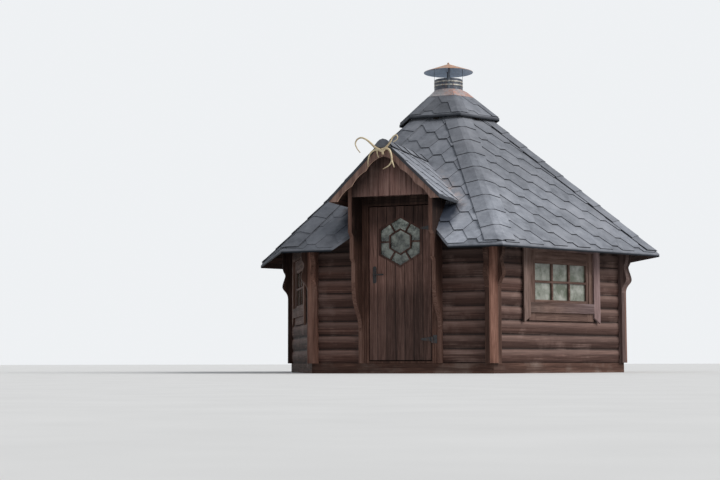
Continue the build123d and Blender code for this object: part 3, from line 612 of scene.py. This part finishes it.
TAB_FLAT = 0.09
TAB_SIDE = 0.0767
TAB_PERIOD = 2 * (TAB_FLAT + TAB_SIDE)
TAB_STEP = 0.14
TAB_LIFT = 0.012
TAB_EDGE_SHADOW = 0.85
TAB_SETBACK = 0.015
TAB_CLEAR = 0.0015          # from the slope to a tab's upper end
TAB_BED = -0.001            # the tabs' undersides lie just below the slope's face
SLOPE_HALF = 1.15
HIP_CLEAR = 0.05            # from the shingles' ends to the hips
CAP_HIP_CLEAR = 0.03
RIDGE_CLEAR = 0.04


def shingles(name, plane, regions, top, half_width, shift=0.0, raised=TAB_LIFT, line=TAB_EDGE_SHADOW,
             painted_light_level=0.0, painted_light_drift=0.0):
    """Overlapping six-sided tabs, clipped to the convex regions of one slope. Each tab's
    tone is random, raised by the slope's painted light level, and its edges get a share
    of painted edge shadow. With a drift the tone goes from left to right as painted shade
    on the left and painted light on the right, and the left half lies flatter with fainter
    painted edge shadows."""
    vertices, faces, tones, edge_shadows = [], [], [], []
    reach = TAB_FLAT / 2 + TAB_SIDE
    count = int(half_width / TAB_PERIOD) + 2
    row = 0
    while row * TAB_STEP < top:
        low = row * TAB_STEP - TAB_STEP * 0.5
        offset = shift + (row % 2) * TAB_PERIOD / 2
        for n in range(-count, count + 1):
            u = offset + n * TAB_PERIOD
            tab = [(u - TAB_FLAT / 2, low), (u + TAB_FLAT / 2, low), (u + reach, low + TAB_STEP),
                   (u + reach, low + 2 * TAB_STEP), (u - reach, low + 2 * TAB_STEP),
                   (u - reach, low + TAB_STEP)]
            tone = painted_light_level + random.random() * 0.8 + painted_light_drift * max(-1, min(1, u / 0.6))
            lift = raised * random.uniform(0.88, 1.16)
            strength = line * random.uniform(0.65, 1.1)
            if painted_light_drift and u < 0:
                lift, strength = lift * 0.65, strength * 0.32
            for region in regions:
                cut = tab
                for limit in region:
                    cut = clip(cut, *limit)
                if len(cut) < 3:
                    continue
                base = len(vertices)
                size = len(cut)
                for p, q in cut:
                    rise = lift * (1 - (q - low) / (2 * TAB_STEP)) + TAB_CLEAR
                    vertices.append(plane.at(p, q, rise))
                for p, q in cut:
                    vertices.append(plane.at(p, q, TAB_BED))
                faces.append([base + i for i in range(size)])
                faces.append([base + size + i for i in reversed(range(size))])
                # the underside and the edges of each tab carry painted edge shadow
                edge_shadows.extend((0.0, 1.0))
                for i in range(size):
                    j = (i + 1) % size
                    faces.append([base + i, base + size + i, base + size + j, base + j])
                    edge_shadows.append(min(strength, 1.0))
                tones.extend([tone] * (size + 2))
        row += 1
    felt_piece(name, vertices, faces, tones, edge_shadows)


def slope_limits(apothem, top_apothem, inset):
    """Half-planes in (u, v) of one slope of a six-sided roof, short of the hips."""
    t = math.tan(HALF_SIDE)
    return [(0, -1, -TAB_SETBACK), (0, 1, (apothem - top_apothem) / RUN),
            (1, RUN * t, apothem * t - inset), (-1, RUN * t, apothem * t - inset)]


main_limits = slope_limits(EAVE, ROOF_TOP, HIP_CLEAR)
main_length = (EAVE - ROOF_TOP) / RUN
# Each slope: name, facing, the tabs' lift, their share of painted edge shadow and the slope's
# painted light level; fainter painted edge shadows on the left-front slope.
for name, degrees, raised, line, painted_light_level in (
        ("right_front", -30, TAB_LIFT, TAB_EDGE_SHADOW, 0.35), ("right_back", 30, TAB_LIFT, TAB_EDGE_SHADOW, 0.0),
        ("back", 90, TAB_LIFT, TAB_EDGE_SHADOW, 0.0), ("left_back", 150, TAB_LIFT, TAB_EDGE_SHADOW, 0.0),
        ("left_front", -150, 0.008, 0.4, 0.0)):
    shingles(f"shingles_{name}", hexagon_slope(degrees, EAVE, EAVE_TOP), [main_limits],
             main_length, SLOPE_HALF, raised=raised, line=line, painted_light_level=painted_light_level)

# On the front slope the porch takes a piece out, so each half is two regions: above
# the valley, and outside the cheek with its trimmed eave corner.
front_regions = []
trim = TRIM_DEPTH / TRIM_WIDTH
for side in (1, -1):
    front_regions.append(main_limits + [
        (side, 0, CHEEK), (-side, 0, 0), (-side, -RUN, VALLEY - EAVE)])
    front_regions.append(main_limits + [
        (-side, 0, -CHEEK), (-side * trim, -RUN, -TRIM_DEPTH - CHEEK * trim)])
# Painted light on the front slope, with painted shade on its left half.
shingles("shingles_front", hexagon_slope(-90, EAVE, EAVE_TOP), front_regions, main_length,
         SLOPE_HALF, painted_light_level=0.95, painted_light_drift=0.75)

# On the cap, painted light on the right-front slope and painted shade on the others.
for turn in range(6):
    shingles(f"cap_shingles_{turn}", hexagon_slope(-90 + 60 * turn, CAP_EAVE, CAP_EAVE_TOP),
             [slope_limits(CAP_EAVE, CAP_TOP, CAP_HIP_CLEAR)], (CAP_EAVE - CAP_TOP) / RUN,
             0.3, shift=0.08, raised=0.007, line=0.5, painted_light_level=0.7 if turn == 1 else -0.7)

porch_length = PORCH_HALF / RUN
for side, label in ((1, "right"), (-1, "left")):
    foot = (side * PORCH_HALF, -PORCH_FRONT, PORCH_TOP - PORCH_HALF * SLOPE)
    plane = Plane(foot, (0, side, 0), (-side * RUN, 0, math.sin(PITCH)))
    limits = [(-side, 0, 0), (side, -RUN, PORCH_FRONT - VALLEY - PORCH_HALF), (0, -1, 0),
              (0, 1, porch_length - RIDGE_CLEAR)]
    # The porch's slopes get painted light.
    shingles(f"porch_shingles_{label}", plane, [limits], porch_length, 1.4, shift=0.06,
             raised=0.009, line=0.65, painted_light_level=1.5)


# Felt strips over the hips and the porch's ridge

STRIP_THICKNESS = 0.007
STRIP_OVERLAP = 0.04
STRIP_LEAST = 0.02          # no lap is started with less than this left
STRIP_SLANT = 0.06
STRIP_SHARES = (-1.0, -0.55, -0.2, 0, 0.2, 0.55, 1.0)
CROWN_RISE = 0.45           # the crown is rounded off, so it rises less than the flats
CROWN_GAP = 0.5


def strip(name, centre, direction, left, right, length, half, step, lift, skew=0.0,
          line=TAB_EDGE_SHADOW, painted_light_level=0.0):
    """Lapped pieces of felt folded over an edge between two slopes. Each slope is
    given by its direction away from the edge and its outward normal. half is how far
    a strip reaches down each slope, and skew is how its first end slants."""
    vertices, faces, tones, edge_shadows = [], [], [], []
    crown = (left[1] + right[1]).normalized()
    wide = len(STRIP_SHARES)
    under = 3 * wide
    place = 0.0
    while place < length - STRIP_LEAST:
        end = min(place + step + STRIP_OVERLAP, length)
        tone = painted_light_level + random.random()
        base = len(vertices)
        for gap in (0.0, STRIP_THICKNESS):
            for where, height in ((0, lift), (0.5, lift * 0.8), (1, lift * 0.6)):
                t = place + (end - place) * where
                for share in STRIP_SHARES:
                    away, normal = left if share < 0 else right
                    shift = 0.0
                    if where == 0:
                        shift = abs(share) * half * (skew if place == 0.0 else STRIP_SLANT)
                    if share == 0:
                        rise = height * CROWN_RISE - gap * CROWN_GAP
                        point = centre + direction * t + crown * rise
                    else:
                        point = (centre + direction * (t + shift) + away * abs(share) * half
                                 + normal * (height - gap))
                    vertices.append(point)
        for i in range(2):
            for j in range(wide - 1):
                a = base + i * wide + j
                b = a + under
                faces.append([a, a + 1, a + wide + 1, a + wide])
                faces.append([b + wide, b + wide + 1, b + 1, b])
                edge_shadows.extend((0.0, 1.0))
            # the sides and ends of each piece carry painted edge shadow
            for j in (0, wide - 1):
                a = base + i * wide + j
                b = a + under
                faces.append([a, a + wide, b + wide, b] if j == 0 else [b, b + wide, a + wide, a])
                edge_shadows.append(line)
        for i in (0, 2):
            for j in range(wide - 1):
                a = base + i * wide + j
                b = a + under
                faces.append([b, b + 1, a + 1, a] if i == 0 else [a, a + 1, b + 1, b])
                edge_shadows.append(line)
        tones.extend([tone] * (len(faces) - len(tones)))
        place += step
    felt_piece(name, vertices, faces, tones, edge_shadows)


def hip(name, degrees, apothem, top_apothem, height, inset, half, step, lift, line,
        painted_light_level=0.0):
    """A strip up the hip between two slopes of a six-sided roof, which starts a little
    inside the corner of the eaves."""
    apothem -= inset
    height += inset * SLOPE
    a = math.radians(degrees)
    corner = 1 / math.cos(HALF_SIDE)
    outward = Vector((math.cos(a), math.sin(a), 0))
    start = outward * apothem * corner + Vector((0, 0, height))
    end = outward * top_apothem * corner + Vector((0, 0, height + (apothem - top_apothem) * SLOPE))
    direction = (end - start).normalized()
    sides = []
    for turn in (-30, 30):
        slope = hexagon_slope(degrees + turn, apothem, height)
        away = slope.along * (1 if turn > 0 else -1)
        away = (away - direction * away.dot(direction)).normalized()
        sides.append((away, slope.out))
    strip(name, start, direction, *sides, (end - start).length, half, step, lift,
          math.tan(HALF_SIDE) * RUN, line, painted_light_level)


for turn in range(6):
    degrees = -120 + 60 * turn
    # the hip at the left front gets faint painted edge shadow, the hip at -60 degrees painted light
    line = 0.14 if turn == 0 else 0.7
    hip(f"hip_{turn}", degrees, EAVE, ROOF_TOP, EAVE_TOP, inset=0.022, half=0.155,
        step=0.26, lift=0.024, line=line, painted_light_level=0.55 if turn == 1 else 0.0)
    hip(f"cap_hip_{turn}", degrees, CAP_EAVE, CAP_TOP, CAP_EAVE_TOP, inset=0.01, half=0.09,
        step=0.4, lift=0.012, line=line)

slopes = []
for side in (-1, 1):
    slopes.append((Vector((side * RUN, 0, -math.sin(PITCH))),
                   Vector((side * math.sin(PITCH), 0, RUN))))
ridge_front = PORCH_FRONT + 0.002
ridge_back = VALLEY + 0.022
strip("porch_ridge_felt", Vector((0, -ridge_front, PORCH_TOP)), Vector((0, 1, 0)), *slopes,
      ridge_front - ridge_back, half=0.12, step=0.27, lift=0.024)

# Round cap of felt at the front end of the porch's ridge

HOOD_FRONT = PORCH_FRONT + 0.009
HOOD_BACK = PORCH_FRONT + 0.0045
hood = [(0.0, 0.006), (0.026, 0.001), (0.055, -0.019), (0.074, -0.046), (0.086, -0.078)]
outline = hood + [(-x, z) for x, z in reversed(hood[1:])]
vertices = [(x, -y, PORCH_TOP + z) for y in (HOOD_FRONT, HOOD_BACK) for x, z in outline]
size = len(outline)
faces = [list(range(size)), [size + i for i in reversed(range(size))]]
for i in range(size):
    j = (i + 1) % size
    faces.append([j, i, size + i, size + j])
felt_piece("porch_hood", vertices, faces, [0.5] * len(faces), [0.1, 1.0] + [0.5] * size)

# Felt folded down over the front edge of the porch roof

FOLD = 0.036
FOLD_TOP = 0.006
FOLD_THICKNESS = 0.004
vertices, faces, edge_shadows = [], [], []
for side in (-1, 1):
    base = len(vertices)
    for y in (-PORCH_FRONT - FOLD_THICKNESS, -PORCH_FRONT):
        for x in (0.0, PORCH_HALF):
            edge = PORCH_TOP + FOLD_TOP - x * SLOPE
            vertices.append((side * x, y, edge))
            vertices.append((side * x, y, edge - FOLD))
    order = [0, 1, 3, 2] if side > 0 else [2, 3, 1, 0]
    faces.append([base + i for i in order])
    faces.append([base + 4 + i for i in reversed(order)])
    for pair in ((0, 2), (3, 1), (2, 3)):
        i, j = pair if side > 0 else pair[::-1]
        faces.append([base + j, base + i, base + 4 + i, base + 4 + j])
    edge_shadows.extend([0.8, 1.0, 0.5, 1.0, 0.8])
felt_piece("porch_felt_edge", vertices, faces, [0.3] * len(faces), edge_shadows)


# Antlers

ANTLER_STAND = 0.022


def antler_beam(routes):
    """Tapered round beams along smooth routes, as one mesh."""
    curve = bpy.data.curves.new("antler_routes", "CURVE")
    curve.dimensions = "3D"
    curve.bevel_depth = 1.0
    curve.bevel_resolution = 3
    curve.resolution_u = 6
    curve.use_fill_caps = True
    for points, radii in routes:
        spline = curve.splines.new("BEZIER")
        spline.bezier_points.add(len(points) - 1)
        for n, (knot, point) in enumerate(zip(spline.bezier_points, points)):
            knot.co = point
            knot.handle_left_type = knot.handle_right_type = "AUTO"
            share = n / (len(points) - 1)
            knot.radius = radii[0] + (radii[1] - radii[0]) * share
    holder = bpy.data.objects.new("antler_routes", curve)
    mesh = bpy.data.meshes.new_from_object(holder)
    bpy.data.objects.remove(holder)
    return mesh


# Each beam's route in millimetres, to the right of the porch's ridge and up from it,
# and its first and last radius in metres
beams = [
    ([(-10, -76), (-70, -44), (-120, 2), (-171, 42), (-232, 56), (-274, 14), (-262, -38),
      (-226, -88)], (0.0125, 0.0045)),
    ([(10, -64), (62, -66), (92, -116), (101, -190)], (0.0125, 0.008)),
    ([(-30, -66), (-104, -84), (-138, -140), (-147, -232)], (0.011, 0.0035)),
    ([(-48, -58), (-50, -96), (-36, -146)], (0.0095, 0.0035)),
    ([(101, -186), (72, -226), (8, -260)], (0.009, 0.0035)),
    ([(101, -186), (114, -218), (125, -250)], (0.009, 0.0035)),
    ([(14, -70), (50, -40), (87, 2), (116, 50), (150, 62), (158, 30), (116, -2)], (0.0105, 0.004)),
    ([(-26, -70), (4, -84), (34, -62)], (0.0145, 0.0135)),
    ([(2, -58), (6, -84), (10, -118)], (0.0145, 0.011)),
]
routes = []
for points, radii in beams:
    routes.append(([(x / 1000, -PORCH_FRONT - ANTLER_STAND, PORCH_RIDGE + z / 1000)
                    for x, z in points], radii))
mesh = antler_beam(routes)
mesh.materials.clear()
mesh.materials.append(horn)
antlers = bpy.data.objects.new("antler_pair", mesh)
bpy.context.scene.collection.objects.link(antlers)
for polygon in mesh.polygons:
    polygon.use_smooth = True
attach(antlers, "hut")
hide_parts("antlers")

# Floor, backdrop and light

bpy.context.scene.view_settings.view_transform = "Standard"

FLOOR_REACH = 120
FLOOR_DROP = 0.0005
floor_mesh = bpy.data.meshes.new("floor")
floor_mesh.from_pydata([(x * FLOOR_REACH, y * FLOOR_REACH, -FLOOR_DROP)
                        for x, y in ((-1, -1), (1, -1), (1, 1), (-1, 1))], [], [(0, 1, 2, 3)])
floor_shader = Shader("floor", 0.9)
floor_mesh.materials.append(floor_shader.finish(
    floor_shader.ramp(floor_shader.noise(floor_shader.place, 3, 2), (0.3, 0.7), (0.7, 0.74))))
floor = bpy.data.objects.new("floor", floor_mesh)
bpy.context.scene.collection.objects.link(floor)

world = bpy.data.worlds.new("studio")
world.use_nodes = True
bpy.context.scene.world = world
tree = world.node_tree
tree.nodes.clear()
output = tree.nodes.new("ShaderNodeOutputWorld")
lit = tree.nodes.new("ShaderNodeBackground")
seen = tree.nodes.new("ShaderNodeBackground")
choice = tree.nodes.new("ShaderNodeMixShader")
path = tree.nodes.new("ShaderNodeLightPath")
lit.inputs[0].default_value = (0.9, 0.95, 1.0, 1)
lit.inputs[1].default_value = 0.37
seen.inputs[0].default_value = (0.86, 0.88, 0.9, 1)
seen.inputs[1].default_value = 1.0
direct = path.outputs["Is Camera Ray"]
for ray in ("Is Glossy Ray", "Is Transmission Ray"):
    either = tree.nodes.new("ShaderNodeMath")
    either.operation = "MAXIMUM"
    tree.links.new(direct, either.inputs[0])
    tree.links.new(path.outputs[ray], either.inputs[1])
    direct = either.outputs[0]
tree.links.new(direct, choice.inputs[0])
tree.links.new(lit.outputs[0], choice.inputs[1])
tree.links.new(seen.outputs[0], choice.inputs[2])
tree.links.new(choice.outputs[0], output.inputs[0])

sun_data = bpy.data.lights.new("key", "SUN")
sun_data.energy = 3.1
sun_data.angle = math.radians(38)
sun_data.color = (1.0, 0.98, 0.95)
sun = bpy.data.objects.new("key", sun_data)
bpy.context.scene.collection.objects.link(sun)
sun.rotation_mode = "QUATERNION"
sun.rotation_quaternion = Vector((-0.82, 0.08, -0.58)).to_track_quat("-Z", "Y")
